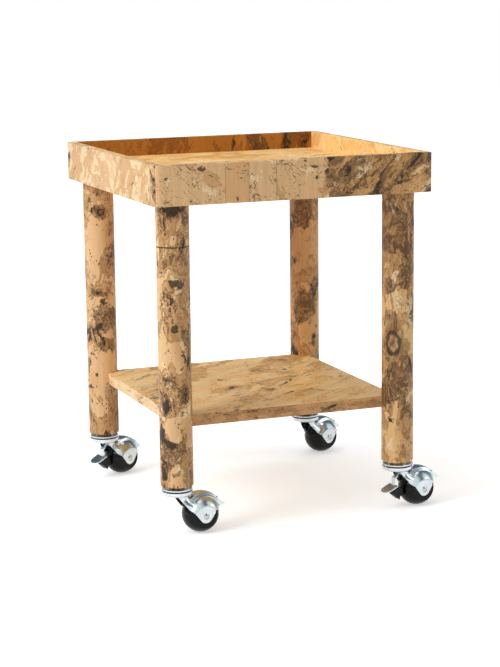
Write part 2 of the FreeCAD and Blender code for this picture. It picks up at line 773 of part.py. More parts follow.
def braked_hood(plain):
    """The hood with a slot for the brake's tab and holes for its pin."""
    width = "(brake_strip_width + 2 * brake_slot_play)"
    low = "ball_radius + brake_slot_up"
    under = primitive("Box", "brake_slot_under_bowl", Width=width,
                      at=("caster_offset - brake_slot_front", f"-{width} / 2", low),
                      Length="brake_slot_front - brake_slot_back",
                      Height=f"{BOWL_UP} - brake_slot_up")
    behind = primitive("Box", "brake_slot_behind_bowl", Width=width,
                       at=("bowl_radius + brake_slot_play / 4", f"-{width} / 2", low),
                       Length="caster_offset - brake_slot_back - bowl_radius"
                              " - brake_slot_play / 4",
                       Height="ball_radius")
    pin_hole = primitive("Cylinder", "brake_pin_hole", turn=((1, 0, 0), 90),
                         at=("caster_offset - brake_pivot_ahead", "ball_radius",
                             "ball_radius + brake_pivot_up"),
                         Radius="brake_pin_radius + brake_pin_play",
                        Height="2 * ball_radius")
    return cut("hood_braked", plain, under, behind, pin_hole)


# ---------------------------------------------------------------- caster: running parts


def ball_master():
    """The ball: a sphere with flat sides, a low hub boss on each and a bore."""
    body = new_body("ball_turning")
    bore = "(axle_radius + axle_play)"
    boss = "(ball_flat + hub_boss_height)"
    rim = "sqrt(ball_radius ^ 2 - ball_flat ^ 2)"
    profile = new_sketch(body, "ball_profile", "XY_Plane")
    outline(profile, [
        (bore, f"-{boss}"), ("hub_boss_radius", f"-{boss}"), ("hub_boss_radius", "-ball_flat"),
        (rim, "-ball_flat", "ball_radius"), (rim, "ball_flat"),
        ("hub_boss_radius", "ball_flat"), ("hub_boss_radius", boss), (bore, boss),
    ])
    revolve(body, profile)
    return at_ball(body)


def axle_master():
    """The axle, riveted over into a low domed head at each ear."""
    body = new_body("axle_turning")
    seat = f"({EAR_OUTSIDE} - rivet_dish_depth)"
    dome = "((rivet_head_radius ^ 2 + rivet_head_height ^ 2) / (2 * rivet_head_height))"
    tip = f"({seat} + rivet_head_height)"
    profile = new_sketch(body, "axle_profile", "XY_Plane")
    outline(profile, [
        ("0", f"-{tip}", dome), ("rivet_head_radius", f"-{seat}"), ("axle_radius", f"-{seat}"),
        ("axle_radius", seat), ("rivet_head_radius", seat, dome), ("0", tip),
    ])
    revolve(body, profile)
    return at_ball(body)


def race_master():
    """The dished upper race: a hub under the leg's socket, a track and a turned-up rim."""
    hole = "(stem_radius + stem_play)"
    inner, outer = ("(race_track_radius - race_track_half)",
                    "(race_track_radius + race_track_half)")
    bottom, top = TRACK_BOTTOM, f"({TRACK_BOTTOM} + race_sheet)"
    return turned("race_turning", [
        (hole, f"{RACE_TOP} - race_sheet"), ("race_hub_radius", f"{RACE_TOP} - race_sheet"),
        (inner, bottom), (outer, bottom),
        ("race_rim_radius", f"{bottom} + race_rim_rise - race_sheet"),
        ("race_rim_radius", f"{bottom} + race_rim_rise"),
        (outer, top), (inner, top), ("race_hub_radius", RACE_TOP), (hole, RACE_TOP),
    ])


def stem_master():
    """The stem: riveted under the bowl, with a collar under the race, up into the socket."""
    head = f"({BOWL_BOTTOM} - stem_head_gap)"
    collar_top = f"({RACE_TOP} - race_sheet)"
    top = f"({CASTER_HEIGHT} + stem_length)"
    return turned("stem_turning", [
        ("0", f"{head} - stem_head_height"),
        ("stem_head_radius - stem_head_height / 2", f"{head} - stem_head_height",
         "stem_head_height"),
        ("stem_head_radius", head), ("stem_radius", head),
        ("stem_radius", f"{BOWL_FLOOR} + stem_head_gap"),
        ("stem_collar_radius", f"{BOWL_FLOOR} + stem_head_gap"),
        ("stem_collar_radius", collar_top), ("stem_radius", collar_top),
        ("stem_radius", f"{top} - stem_point"), ("stem_radius - stem_point", top), ("0", top),
    ])


def socket_master():
    """The steel socket in the leg's end, with a flange under the leg."""
    inside = "(stem_radius + stem_play)"
    return turned("socket_turning", [
        (inside, RACE_TOP), ("socket_flange_radius", RACE_TOP),
        ("socket_flange_radius", CASTER_HEIGHT), ("socket_radius", CASTER_HEIGHT),
        ("socket_radius", f"{CASTER_HEIGHT} + socket_depth"),
        (inside, f"{CASTER_HEIGHT} + socket_depth"),
    ])


def bearing_master():
    """The ring of small balls between the bowl and the race."""
    count = int(value("bearing_ball_count"))
    balls = []
    for number in range(count):
        angle = f"({number} * 360 / bearing_ball_count)"
        balls.append(primitive(
            "Sphere", f"bearing_ball_{number}", Radius="bearing_ball_radius",
            at=(f"race_track_radius * cos({angle})", f"race_track_radius * sin({angle})",
                f"{BOWL_FLOOR} + bearing_play + bearing_ball_radius")))
    return group("bearing_ring", balls)


# ---------------------------------------------------------------- caster: brake


def brake_lever_master():
    """The brake's rocker: pedal, front strip, eye on the pin, arm over the ball and tab."""
    body = new_body("brake_lever_form")
    eye = ("(0 - brake_pivot_ahead)", "brake_pivot_up")
    front, behind = "(0 - brake_front)", "(0 - brake_front + brake_sheet)"
    side = new_sketch(body, "brake_strip_side", "XZ_Plane")
    outline(side, [
        (front, "brake_pedal_up - brake_sheet"), (behind, PEDAL_UNDER),
        (behind, "brake_bend_up - brake_sheet / 2"),
        (f"{eye[0]} - brake_eye_radius / 2", f"{eye[1]} - brake_eye_radius / 2"),
        (f"{eye[0]} + brake_eye_radius / 2", f"{eye[1]} - brake_eye_radius * 0.8"),
        ("(0 - brake_arm_start)", f"sqrt({ARM_INSIDE} ^ 2 - brake_arm_start ^ 2)",
         f"-{ARM_INSIDE}"),
        ("(0 - brake_arm_end)", f"sqrt({ARM_INSIDE} ^ 2 - brake_arm_end ^ 2)"),
        ("(0 - brake_arm_end)", "brake_tab_up"),
        ("(0 - brake_arm_end - brake_sheet)", "brake_tab_up"),
        ("(0 - brake_arm_end - brake_sheet)",
         f"sqrt({ARM_OUTSIDE} ^ 2 - (brake_arm_end + brake_sheet) ^ 2)", ARM_OUTSIDE),
        ("(0 - brake_arm_start)", f"sqrt({ARM_OUTSIDE} ^ 2 - brake_arm_start ^ 2)"),
        (f"{eye[0]} + brake_eye_radius / 2", f"{eye[1]} + brake_eye_radius * 0.8"),
        (f"{eye[0]} - brake_eye_radius / 2", f"{eye[1]} + brake_eye_radius / 2"),
        (front, "brake_bend_up"),
    ])
    pad(body, side, "brake_strip_width", middle=True)
    eye_side = new_sketch(body, "brake_eye_side", "XZ_Plane")
    circle(eye_side, *eye, "brake_eye_radius")
    pad(body, eye_side, "brake_strip_width", middle=True)
    pedal = new_sketch(body, "brake_pedal_side", "XZ_Plane")
    tip_up = "(brake_pedal_up - brake_pedal_drop)"
    outline(pedal, [
        (front, "brake_pedal_up"), ("(0 - brake_pedal_reach)", tip_up),
        ("(0 - brake_pedal_reach)", f"{tip_up} - brake_sheet"),
        (behind, PEDAL_UNDER), (behind, f"{PEDAL_UNDER} + brake_sheet"),
    ])
    pad(body, pedal, "brake_pedal_width", middle=True)
    corners = new_sketch(body, "brake_pedal_corners", "XY_Plane", "0 - brake_pedal_up")
    tip, half = "(0 - brake_pedal_reach)", "(brake_pedal_width / 2)"
    for side, bulge in (("", "-"), ("-", "")):
        outline(corners, [
            (tip, f"{side}{half}"),
            (tip, f"{side}({half} - brake_pedal_round)", f"{bulge}brake_pedal_round"),
            (f"{tip} + brake_pedal_round", f"{side}{half}"),
        ])
    pocket(body, corners, "2 * brake_pedal_up")
    bore = primitive("Cylinder", "brake_eye_bore", turn=((1, 0, 0), 90),
                     at=(eye[0], "brake_pedal_width", eye[1]),
                     Radius="brake_pin_radius + brake_pin_play",
                     Height="2 * brake_pedal_width")
    return copy_of(cut("brake_lever_bored", body, bore), "brake_lever",
                   "caster_offset", 0, "ball_radius")


def brake_shoe_master():
    """The moulded shoe under the pedal, hollowed to the ball, with a hooked toe."""
    body = new_body("brake_shoe_form")
    face = "(ball_radius + brake_shoe_gap)"
    heel_top = "(brake_shoe_heel - brake_sheet)"
    side = new_sketch(body, "brake_shoe_side", "XZ_Plane")
    outline(side, [
        ("(0 - brake_front + brake_sheet)", PEDAL_UNDER),
        (f"(0 - {heel_top})",
         f"brake_pedal_up - brake_sheet - {PEDAL_SLOPE} * ({heel_top} - brake_front)"),
        ("(0 - brake_shoe_heel)", "0 - brake_shoe_heel_drop"),
        ("(0 - brake_shoe_toe)", "0 - brake_shoe_toe_drop"),
        ("(0 - brake_shoe_notch)", "0 - brake_shoe_notch_drop"),
        (f"(0 - sqrt({face} ^ 2 - brake_shoe_notch_drop ^ 2))", "0 - brake_shoe_notch_drop",
         f"-{face}"),
        (f"(0 - sqrt({face} ^ 2 - brake_shoe_top ^ 2))", "brake_shoe_top"),
    ])
    pad(body, side, "brake_shoe_width", middle=True)
    return at_ball(body)


def brake_pin_master():
    """The brake's pin, flush with the neck's two walls."""
    half = "(neck_radius_2 - hood_sheet / 2)"
    return primitive("Cylinder", "brake_pin_form", turn=((1, 0, 0), 90),
                     at=("caster_offset - brake_pivot_ahead", half,
                         "ball_radius + brake_pivot_up"),
                     Radius="brake_pin_radius", Height=f"2 * {half}")


# ---------------------------------------------------------------- assembly


def casters():
    """Four casters, each turned to its own swivel angle; two of them carry a brake."""
    plain = hood_master()
    masters = {
        "stem": stem_master(), "socket": socket_master(), "upper_race": race_master(),
        "bearing_balls": bearing_master(), "hood": plain, "axle": axle_master(),
        "ball": ball_master(),
    }
    brake = {
        "hood": braked_hood(plain), "brake_lever": brake_lever_master(),
        "brake_shoe": brake_shoe_master(), "brake_pin": brake_pin_master(),
    }
    for name in CORNERS:
        pieces = {**masters, **brake} if name in BRAKED else masters
        for part, master in pieces.items():
            keep(copy_of(master, f"caster_{name}_{part}", *at_corner(name),
                         angle=f"swivel_{name}"))


def write_files():
    """Check every object and sub-part, then write one file for each sub-part."""
    doc.recompute()
    for thing in doc.Objects:
        if "Invalid" in thing.State or "Error" in thing.State:
            raise RuntimeError(f"{thing.Label} failed: {thing.State}")
    os.makedirs("parts", exist_ok=True)
    for piece in SUBPARTS:
        shape = piece.Shape
        if shape.isNull() or not shape.isValid() or not shape.Solids:
            raise RuntimeError(f"{piece.Label} has no valid solid")
        shape.exportStep(f"parts/{piece.Label}.step")
        print(f"{piece.Label}: {len(shape.Solids)} solids, {shape.Volume:.0f} mm3")


for rail_name, rail_angle in (("tray_front_rail", 0), ("tray_right_rail", 90),
                              ("tray_back_rail", 180), ("tray_left_rail", 270)):
    tray_rail(rail_name, rail_angle)
corner_splines()
tray_panel()
legs_and_fixings()
shelf()
casters()
write_files()
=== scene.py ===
"""Looks of the cheese trolley: its burl veneers, bright zinc casters, light and camera.

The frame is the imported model, in metres: +Z up, the floor at z = 0, the front towards -Y.
Every place below is in that frame. The woods, metals and mouldings are laid on the CAD
pieces themselves, so every outline is the construction's own.
"""

import json
import logging
import math
from dataclasses import dataclass, field
from enum import Enum
from typing import Any, Iterable, Union

import bpy
from mathutils import Matrix, Vector

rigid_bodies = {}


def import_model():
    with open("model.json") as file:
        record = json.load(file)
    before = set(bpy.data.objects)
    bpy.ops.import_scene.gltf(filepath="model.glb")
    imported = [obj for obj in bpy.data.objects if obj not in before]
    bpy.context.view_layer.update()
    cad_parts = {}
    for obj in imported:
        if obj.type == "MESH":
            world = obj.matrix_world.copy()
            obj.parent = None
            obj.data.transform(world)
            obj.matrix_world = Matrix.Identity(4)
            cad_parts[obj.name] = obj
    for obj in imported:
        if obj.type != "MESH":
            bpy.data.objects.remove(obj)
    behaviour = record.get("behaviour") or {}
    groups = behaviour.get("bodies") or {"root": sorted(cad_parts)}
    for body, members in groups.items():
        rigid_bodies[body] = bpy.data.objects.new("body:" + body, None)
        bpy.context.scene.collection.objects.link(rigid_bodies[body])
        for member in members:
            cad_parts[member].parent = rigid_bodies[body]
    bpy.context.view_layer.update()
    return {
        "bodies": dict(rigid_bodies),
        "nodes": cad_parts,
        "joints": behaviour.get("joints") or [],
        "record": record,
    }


log = logging.getLogger("cheese_trolley")

Point = tuple[float, float, float]
Number = Union[float, "Signal"]
Paint = Union["Colour", "Signal"]

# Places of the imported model, in metres.
TRAY_HALF = 0.225
RIM_TOP = 0.565
SHELF_TOP = 0.183

# Across a rail, the inner face's veneer gives way to the outer face's between these two.
OUTER_FROM = TRAY_HALF - 0.010
OUTER_FULL = TRAY_HALF - 0.006

# How fine each noise of the burl is, in turns of the noise per metre.
RAGGED = 95.0
STROKE_GAPS = 60.0
WORM_BENDS = 70.0
WORMS = 110.0
WORM_PATCHES = 34.0
PITS = 230.0
PIT_PATCHES = 42.0
FINE_FIBRE = 620.0
COARSE_FIBRE = 150.0
PORES = 900.0

# Steps away from a noise, so that a second noise isn't the first one again.
SECOND_CLOUD: Point = (3.1, 1.7, 5.3)
WISP_CLOUD: Point = (9.4, 2.2, 0.7)

# How far a noise's level rises as the share of the surface above it goes from 1 to 0.
SHARE_SPREAD = 0.26

# How far a placed spot lifts the noise of each mark, and a clear spot lowers it.
VEIL_PULL = 0.20
DARK_PULL = 0.22
BLACK_PULL = 0.34
CLEAR_PULL = 0.22

# How much a strong stretch adds to a rail's burl, and how much less burl all of it has.
STRETCH_PUSH = 0.17
RAIL_PULL = 0.06

# How far the lacquer follows the pores and marks, in metres, and its mirror strength.
LACQUER_RELIEF = 0.00012
LACQUER_SPECULAR = 0.25


class Colour(Enum):
    """Colours of the trolley's woods, metals and mouldings, as 0 to 255 sRGB."""

    PALE = (248, 224, 178)
    BUTTER = (252, 220, 160)
    CREAM = (238, 202, 150)
    STRAW = (230, 187, 130)
    TAN = (216, 168, 113)
    ROSE_TAN = (208, 157, 106)
    ROSE_CREAM = (229, 187, 138)
    LEMON = (250, 206, 136)
    HONEY = (234, 184, 112)
    GOLD = (214, 160, 90)
    AMBER = (188, 125, 42)
    TOFFEE = (168, 108, 38)
    RUSSET = (134, 78, 26)
    VEIL = (172, 127, 78)
    SWIRL = (190, 144, 88)
    UMBER = (122, 84, 52)
    DARK_BROWN = (84, 56, 34)
    BARK = (38, 27, 20)
    ZINC = (214, 220, 222)
    STEEL = (190, 194, 198)
    BRASS = (196, 160, 92)
    BLACK = (10, 10, 11)
    SHOE_BLACK = (15, 15, 16)
    DUST = (96, 92, 86)
    FLOOR = (228, 231, 237)
    WHITE = (255, 255, 255)
    SOFT_FILL = (255, 250, 240)
    WINDOW = (236, 250, 252)
    DARK_ROOM = (92, 106, 114)

    @property
    def linear(self) -> tuple[float, float, float, float]:
        """The colour as linear RGBA, as shader sockets take it."""
        steps = [part / 255 for part in self.value]
        linear = [part / 12.92 if part <= 0.04045 else ((part + 0.055) / 1.055) ** 2.4
                  for part in steps]
        return (linear[0], linear[1], linear[2], 1.0)


class Axis(Enum):
    """The way that a veneer's fibre runs, as its stretch along X, Y and Z."""

    ACROSS = (0.05, 1.0, 1.0)
    DEEP = (1.0, 0.05, 1.0)
    UPRIGHT = (1.0, 1.0, 0.05)


# ------------------------------------------------------------------ shader expressions


class Signal:
    """A shader socket that takes part in Python expressions."""

    def __init__(self, graph: "Graph", socket: bpy.types.NodeSocket) -> None:
        """Wrap a socket.

        Args:
            graph: The graph that holds the socket's node.
            socket: The output socket.
        """
        self.graph = graph
        self.socket = socket

    def _math(self, operation: str, first: Number, second: Number) -> "Signal":
        """Add one Math node of two values.

        Args:
            operation: The Math node's operation.
            first: Its first value.
            second: Its second value.

        Returns:
            The node's result.
        """
        return self.graph.node("ShaderNodeMath", {"operation": operation},
                               {0: first, 1: second})

    def __add__(self, other: Number) -> "Signal":
        """This plus the other."""
        return self._math("ADD", self, other)

    def __radd__(self, other: Number) -> "Signal":
        """The other plus this."""
        return self._math("ADD", other, self)

    def __sub__(self, other: Number) -> "Signal":
        """This less the other."""
        return self._math("SUBTRACT", self, other)

    def __rsub__(self, other: Number) -> "Signal":
        """The other less this."""
        return self._math("SUBTRACT", other, self)

    def __mul__(self, other: Number) -> "Signal":
        """This times the other."""
        return self._math("MULTIPLY", self, other)

    def __rmul__(self, other: Number) -> "Signal":
        """The other times this."""
        return self._math("MULTIPLY", other, self)

    def __truediv__(self, other: Number) -> "Signal":
        """This over the other."""
        return self._math("DIVIDE", self, other)

    def __abs__(self) -> "Signal":
        """This without its sign."""
        return self._math("ABSOLUTE", self, 0.0)

    def fraction(self) -> "Signal":
        """What is left of this above its floor."""
        return self._math("FRACT", self, 0.0)

    def least(self, other: Number) -> "Signal":
        """The smaller of this and the other."""
        return self._math("MINIMUM", self, other)

    def most(self, other: Number) -> "Signal":
        """The larger of this and the other."""
        return self._math("MAXIMUM", self, other)

    def rise(self, low: float, high: float) -> "Signal":
        """A smooth step up from low to high, or down where low is above high."""
        return self.graph.node(
            "ShaderNodeMapRange", {"interpolation_type": "SMOOTHSTEP"},
            {"Value": self, "From Min": min(low, high), "From Max": max(low, high),
             "To Min": float(low > high), "To Max": float(low < high)})


class Graph:
    """A node tree under construction, and the nodes that it needs most."""

    def __init__(self, tree: bpy.types.NodeTree) -> None:
        """Empty the tree and start on it."""
        self.tree = tree
        self.tree.nodes.clear()

    def node(self, kind: str, settings: dict[str, Any], inputs: dict[Any, Any],
             output: Union[int, str] = 0) -> Signal:
        """Add any node.

        Args:
            kind: The node's type.
            settings: Its properties, set before anything is linked.
            inputs: Values, colours or signals by socket name or number.
            output: The output socket to hand back.

        Returns:
            The chosen output.
        """
        made = self.tree.nodes.new(kind)
        for name, setting in settings.items():
            setattr(made, name, setting)
        for name, value in inputs.items():
            self.feed(made.inputs[name], value)
        return Signal(self, made.outputs[output])

    def feed(self, socket: bpy.types.NodeSocket, value: Any) -> None:
        """Link a signal to a socket, or set its plain value."""
        if isinstance(value, Signal):
            self.tree.links.new(value.socket, socket)
        else:
            socket.default_value = value.linear if isinstance(value, Colour) else value

    def end(self, kind: str, shader: Signal) -> None:
        """Link a shader to the tree's output node of this type."""
        self.feed(self.tree.nodes.new(kind).inputs["Surface"], shader)

    def place(self) -> Signal:
        """The point on the surface, in the frame, in metres."""
        return self.node("ShaderNodeTexCoord", {}, {}, "Object")

    def facing(self) -> tuple[Signal, Signal, Signal]:
        """The X, Y and Z of the way that the surface faces."""
        return self.parts(self.node("ShaderNodeNewGeometry", {}, {}, "Normal"))

    def parts(self, vector: Signal) -> tuple[Signal, Signal, Signal]:
        """The X, Y and Z of a vector."""
        split = self.node("ShaderNodeSeparateXYZ", {}, {"Vector": vector}).socket.node
        return (Signal(self, split.outputs[0]), Signal(self, split.outputs[1]),
                Signal(self, split.outputs[2]))

    def joined(self, x: Number, y: Number, z: Number) -> Signal:
        """A vector of three values."""
        return self.node("ShaderNodeCombineXYZ", {}, {"X": x, "Y": y, "Z": z})

    def vector(self, operation: str, first: Any, second: Any,
               output: Union[int, str] = 0) -> Signal:
        """One Vector Math node of two vectors."""
        return self.node("ShaderNodeVectorMath", {"operation": operation},
                         {0: first, 1: second}, output)

    def noise(self, vector: Signal, scale: float, detail: float = 3.0,
              roughness: float = 0.55) -> Signal:
        """Soft noise from 0 to 1 about one half."""
        return self.node("ShaderNodeTexNoise", {},
                         {"Vector": vector, "Scale": scale, "Detail": detail,
                          "Roughness": roughness})

    def warped(self, vector: Signal, scale: float, amount: float,
               detail: float = 2.0) -> Signal:
        """The vector pushed about by noise.

        Args:
            vector: The vector to push.
            scale: How fine the noise is.
            amount: How far it pushes, in metres.
            detail: The noise's detail.

        Returns:
            The pushed vector.
        """
        push = self.node("ShaderNodeTexNoise", {},
                         {"Vector": vector, "Scale": scale, "Detail": detail}, 1)
        centred = self.vector("SUBTRACT", push, (0.5, 0.5, 0.5))
        return self.vector("ADD", vector,
                           self.vector("MULTIPLY", centred, (4.0 * amount,) * 3))

    def random(self, value: Number, seed: float) -> Signal:
        """A random number from 0 to 1 for each value."""
        return self.node("ShaderNodeTexWhiteNoise", {"noise_dimensions": "2D"},
                         {"Vector": self.joined(value, seed, 0.0)})

    def blend(self, factor: Number, under: Paint, over: Paint) -> Signal:
        """The paint under, covered by the paint over as far as the factor says."""
        return self.node("ShaderNodeMix", {"data_type": "RGBA"},
                         {0: factor, 6: under, 7: over}, 2)

    def shaded(self, colour: Signal, amount: Number) -> Signal:
        """The colour made darker or lighter by an amount about 1."""
        return self.vector("MULTIPLY", colour, self.joined(amount, amount, amount))


class Recipe(Graph):
    """A surface material under construction."""

    def __init__(self, name: str) -> None:
        """Start a material of this name with a Principled shader."""
        self.material = bpy.data.materials.new(name)
        self.material.use_nodes = True
        super().__init__(self.material.node_tree)
        shader = self.node("ShaderNodeBsdfPrincipled", {}, {})
        self.end("ShaderNodeOutputMaterial", shader)
        self.sockets = shader.socket.node.inputs

    def finish(self, colour: Paint, roughness: Number, height: Union[Signal, None] = None,
               relief: float = 0.0, **fixed: float) -> bpy.types.Material:
        """Link the shader and hand back the material.

        Args:
            colour: The base colour.
            roughness: The roughness.
            height: The height that a bump follows, or None.
            relief: How far the bump rises, in metres.
            fixed: Other Principled sockets by name, with _ for a space.

        Returns:
            The finished material.
        """
        self.feed(self.sockets["Base Color"], colour)
        self.feed(self.sockets["Roughness"], roughness)
        if height is not None:
            bump = self.node("ShaderNodeBump", {},
                             {"Height": height, "Distance": relief, "Strength": 1.0})
            self.feed(self.sockets["Normal"], bump)
        for name, value in fixed.items():
            self.feed(self.sockets[name.replace("_", " ")], value)
        return self.material


# ------------------------------------------------------------------ burl figure


@dataclass(frozen=True)
class Spot:
    """A place where the veneer's figure gathers: its centre, half width and tallness."""

    at: Point
    reach: float
    tall: float = 1.4

    def depth(self, graph: Graph, point: Signal) -> Signal:
        """How deep in the spot a point lies: 1 at its centre, under 0 outside."""
        squeezed = graph.vector("MULTIPLY", point, (1.0, 1.0, 1.0 / self.tall))
        centre = (self.at[0], self.at[1], self.at[2] / self.tall)
        away = graph.vector("DISTANCE", squeezed, centre, "Value")
        return 1.0 - away / self.reach


def gathered(graph: Graph, point: Signal, spots: Iterable[Spot], pull: float) -> Number:
    """How far some spots lift the noise at a point.

    Args:
        graph: The graph under construction.
        point: The point on the surface.
        spots: The spots.
        pull: The lift at a spot's centre.

    Returns:
        The lift, 0 outside every spot.
    """
    depth: Number = 0.0
    for spot in spots:
        depth = spot.depth(graph, point).most(depth)
    return depth * pull


@dataclass(frozen=True)
class Places:
    """Spots of one board or leg: thin brown, dark, near black, and clear of figure."""

    veil: tuple[Spot, ...] = ()
    dark: tuple[Spot, ...] = ()
    black: tuple[Spot, ...] = ()
    clear: tuple[Spot, ...] = ()


@dataclass(frozen=True)
class Clouds:
    """The noises that one burl is made of.

    The flow is the point that they follow, broad and other are their large forms, mottle is
    the fine one inside a dark mark, and bands run in swirls round the broad forms.
    """

    flow: Signal
    broad: Signal
    other: Signal
    mottle: Signal
    bands: Signal


@dataclass(frozen=True)
class Burl:
    """The figure of a burl veneer: how coarse it is and how much of each mark it has.

    The shares of veil, dark, black and pale run from 0 to 1 of the surface, and lines,
    worms and specks are the strength of their marks. The size is in metres, and crisp is
    how soft a mark's edge is.
    """

    size: float = 0.030
    veil: float = 0.5
    dark: float = 0.22
    black: float = 0.03
    pale: float = 0.0
    lines: float = 0.6
    worms: float = 0.6
    specks: float = 0.6
    crisp: float = 0.010
    fibre: Axis = Axis.UPRIGHT
    stretch: Point = (1.0, 1.0, 0.6)
    tones: tuple[Colour, Colour] = (Colour.VEIL, Colour.DARK_BROWN)

    def level(self, share: float) -> float:
        """The height that noise passes over about this share of the surface."""
        return 0.5 + SHARE_SPREAD * (0.5 - share)

    def over(self, noise: Signal, share: float) -> Signal:
        """Where the noise passes the level of a share."""
        level = self.level(share)
        return noise.rise(level, level + self.crisp)

    def clouds(self, graph: Graph, long: Signal) -> Clouds:
        """The burl's noises at a stretched point."""
        flow = graph.warped(long, 0.75 / self.size, 0.30 * self.size)
        broad = graph.noise(flow, 0.70 / self.size, 5.0, 0.6)
        other = graph.noise(graph.vector("ADD", flow, SECOND_CLOUD), 1.1 / self.size, 6.0,
                            0.66)
        mottle = graph.noise(flow, 4.2 / self.size, 5.0, 0.68)
        return Clouds(flow, broad, other, mottle, (broad * 11.0 + other * 2.5).fraction())

    def blotches(self, graph: Graph, clouds: Clouds, ground: Paint, places: Places,
                 near: Signal, push: Number) -> tuple[Signal, Signal, Signal]:
        """Lay the thin brown, pale, dark and near black forms over a ground.

        Args:
            graph: The graph under construction.
            clouds: The burl's noises.
            ground: The colour of the plain wood.
            places: Spots where the figure gathers.
            near: The point that the spots are measured at.
            push: How much more burl there is here than the shares say.

        Returns:
            The colour, a mask of the drawn lines and a mask of the near black forms.
        """
        broad, other, mottle, bands = clouds.broad, clouds.other, clouds.mottle, clouds.bands
        lift = gathered(graph, near, places.veil, VEIL_PULL)
        veil = self.over(broad + push + lift, self.veil)
        lift = gathered(graph, near, places.dark, DARK_PULL)
        deep = broad * 0.45 + other * 0.55 + push + lift
        dark = self.over(deep, self.dark)
        lift = gathered(graph, near, places.black, BLACK_PULL)
        black = self.over(other + push * 0.5 + lift + (mottle - 0.5) * 0.5, self.black)

        colour = graph.blend(veil * (0.34 + 0.66 * bands), ground, self.tones[0])
        if self.pale:
            wisps = graph.noise(graph.vector("ADD", clouds.flow, WISP_CLOUD),
                                1.6 / self.size, 3.0, 0.5)
            colour = graph.blend(self.over(wisps, self.pale) * 0.6, colour, Colour.PALE)
        colour = graph.blend(dark * (mottle.rise(0.36, 0.60) * 0.45 + 0.28 * bands + 0.27),
                             colour, self.tones[1])
        flecks = mottle.rise(0.57, 0.62) * dark * (1.0 - black)
        colour = graph.blend(flecks * 0.5, colour, Colour.TAN)
        colour = graph.blend(black * 0.85, colour, Colour.BARK)

        rim = abs(deep - self.level(self.dark)).rise(0.012, 0.003)
        contour = abs(bands - 0.5).rise(0.14, 0.04) * veil
        broken = graph.noise(clouds.flow, STROKE_GAPS, 3.0).rise(0.46, 0.56)
        strokes = (rim + contour).least(1.0) * broken
        colour = graph.blend(strokes * self.lines * 0.8, colour, Colour.DARK_BROWN)
        return colour, strokes, black

    def scratches(self, graph: Graph, long: Signal,
                  colour: Signal) -> tuple[Signal, Signal, Signal]:
        """Lay the hair-like squiggles and the specks over the colour.

        Args:
            graph: The graph under construction.
            long: The stretched point.
            colour: The colour under them.

        Returns:
            The colour, a mask of the squiggles and a mask of the specks.
        """
        hair = graph.noise(graph.warped(long, WORM_BENDS, 0.0035), WORMS, 2.0, 0.5)
        patch = graph.noise(long, WORM_PATCHES, 3.0).rise(0.50, 0.56)
        worms = abs(hair - 0.5).rise(0.028, 0.010) * patch
        colour = graph.blend(worms * self.worms * 0.8, colour, Colour.DARK_BROWN)
        pits = graph.node("ShaderNodeTexVoronoi", {}, {"Vector": long, "Scale": PITS},
                          "Distance")
        spots = pits.rise(0.30, 0.16) * graph.noise(long, PIT_PATCHES, 3.0).rise(0.53, 0.58)
        return graph.blend(spots * self.specks, colour, Colour.BARK), worms, spots

    def paint(self, graph: Graph, point: Signal, ground: Paint, places: Places = Places(),
              near: Union[Signal, None] = None, push: Number = 0.0) -> tuple[Signal, Signal]:
        """Paint the figure over a ground.

        Args:
            graph: The graph under construction.
            point: The point that the figure follows.
            ground: The colour of the plain wood.
            places: Spots where the figure gathers or clears.
            near: The point that the spots are measured at, or None for the same.
            push: How much more burl there is here than the shares say.

        Returns:
            The colour, and a mask of the dark marks for the bump and the gloss.
        """
        near = graph.warped(near or point, RAGGED, 0.0022, 5.0)
        if places.clear:
            push = push - gathered(graph, near, places.clear, CLEAR_PULL)
        long = graph.vector("MULTIPLY", point, self.stretch)
        colour, strokes, black = self.blotches(graph, self.clouds(graph, long), ground,
                                               places, near, push)
        colour, worms, spots = self.scratches(graph, long, colour)
        grain = graph.vector("MULTIPLY", point, self.fibre.value)
        fine = graph.noise(grain, FINE_FIBRE, 3.0)
        coarse = graph.noise(grain, COARSE_FIBRE, 3.0)
        tone = 0.68 + 0.30 * fine + 0.34 * coarse
        marks = (strokes * 0.4 + worms * 0.7 + spots + black * 0.6).least(1.0)
        return graph.shaded(colour, tone), marks


def lacquered(recipe: Recipe, colour: Signal, marks: Signal,
              gloss: float) -> bpy.types.Material:
    """Finish a veneer under its satin lacquer.

    Args:
        recipe: The material under construction.
        colour: The veneer's colour.
        marks: Its dark marks, which sink a little.
        gloss: The roughness of the plain wood.

    Returns:
        The finished material.
    """
    pores = recipe.noise(recipe.place(), PORES, 2.0)
    return recipe.finish(colour, gloss + 0.10 * marks + 0.08 * (pores - 0.5),
                         0.3 * pores - 0.7 * marks, LACQUER_RELIEF,
                         Specular_IOR_Level=LACQUER_SPECULAR)


# ------------------------------------------------------------------ wood finishes


@dataclass(frozen=True)
class Ring:
    """A knot in a leg's veneer: a dark eye with a ring round it."""

    at: Point
    radius: float
    tall: float = 1.0
    strength: float = 0.9

    def paint(self, recipe: Recipe, point: Signal, colour: Signal) -> Signal:
        """Lay the ring over the colour.

        Args:
            recipe: The material under construction.
            point: The point on the surface.
            colour: The colour under the ring.

        Returns:
            The colour with the ring in it.
        """
        loose = recipe.warped(point, 110.0, 0.0022, 4.0)
        away = 1.0 - Spot(self.at, self.radius, self.tall).depth(recipe, loose)
        halo = away.rise(2.2, 1.3)
        ring = abs(away - 1.0).rise(0.34, 0.12)
        eye = away.rise(0.50, 0.28)
        colour = recipe.blend(halo * 0.55, colour, Colour.UMBER)
        return recipe.blend((ring + eye * 0.5).least(1.0) * self.strength, colour,
                            Colour.BARK)


